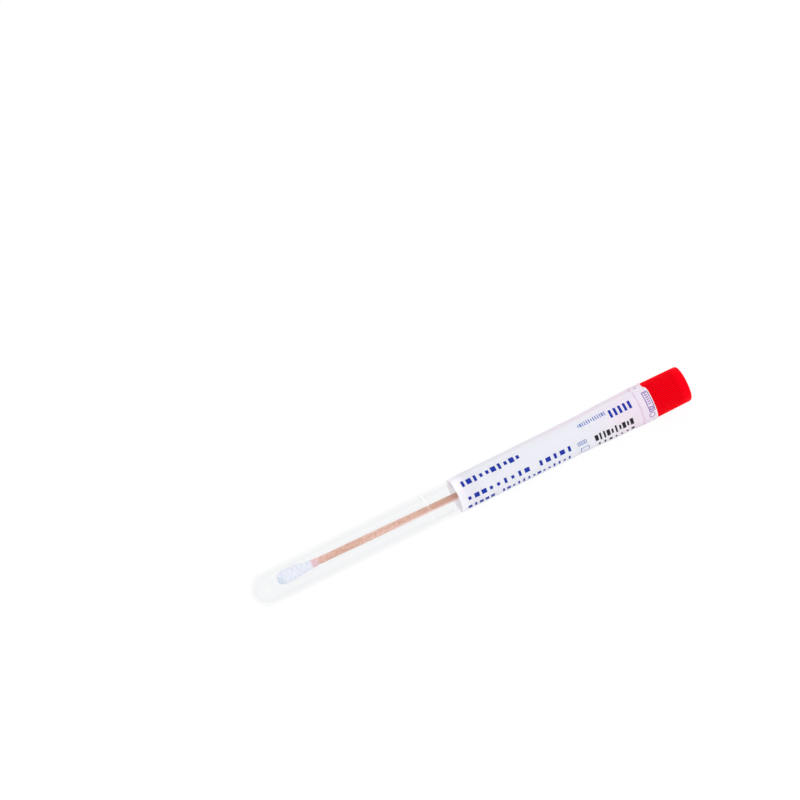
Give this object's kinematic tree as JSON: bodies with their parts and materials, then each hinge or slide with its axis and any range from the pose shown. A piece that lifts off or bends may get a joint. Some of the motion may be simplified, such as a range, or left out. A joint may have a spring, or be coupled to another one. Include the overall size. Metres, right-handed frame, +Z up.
{
  "type": "specimen swab tube",
  "caption": "Clear round-bottomed tube with a red ribbed plug cap, a wooden swab held in the cap and a wrapped white label.",
  "frame": {"origin": "centre of the footprint of the lying tube, on the ground", "axes": "+X along the tube from the round end to the cap, +Z up"},
  "size_m": [0.1692, 0.0138, 0.014],
  "materials": {
    "tube": "clear moulded polypropylene",
    "cap": "satin moulded polyethylene",
    "swab_stick": "plain sanded birch",
    "swab_bud": "wound viscose fibre",
    "label": "smooth printed label paper"
  },
  "bodies": {
    "tube": {"tube": "tube", "label": "label"},
    "swab": {"cap": "cap", "swab_stick": "swab_stick", "swab_bud": "swab_bud"}
  },
  "joints": [
    {"name": "swab_pull", "type": "slide", "parent": "tube", "child": "swab", "axis": [1, 0, 0.0054], "range_m": [0, 0.16]}
  ]
}
